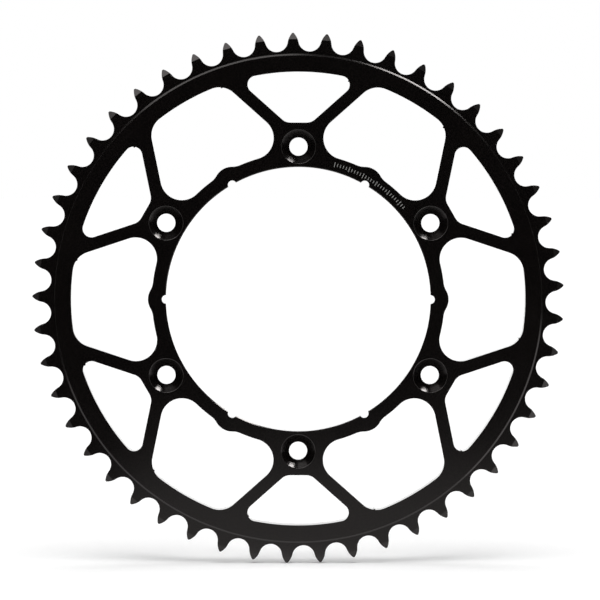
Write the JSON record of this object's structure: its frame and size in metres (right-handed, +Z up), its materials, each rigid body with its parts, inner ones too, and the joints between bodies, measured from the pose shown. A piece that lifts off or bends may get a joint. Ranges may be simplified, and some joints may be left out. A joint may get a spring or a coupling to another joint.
{
  "type": "motorcycle rear sprocket",
  "caption": "Flat toothed wheel for a roller chain, with a large hub bore, a ring of countersunk bolt holes and windows between slanted spokes.",
  "frame": {"origin": "centre of the bore, midway between the two faces of the plate", "axes": "the wheel axis is Y, with the countersunk front face looking along -Y; +Z is up, through the middle of one bolt hole; +X is to the right as seen from the front"},
  "size_m": [0.2551, 0.007, 0.2551],
  "materials": {
    "coated_plate": "black anodised, satin"
  },
  "bodies": {
    "root": {"sprocket": "coated_plate"}
  },
  "joints": []
}
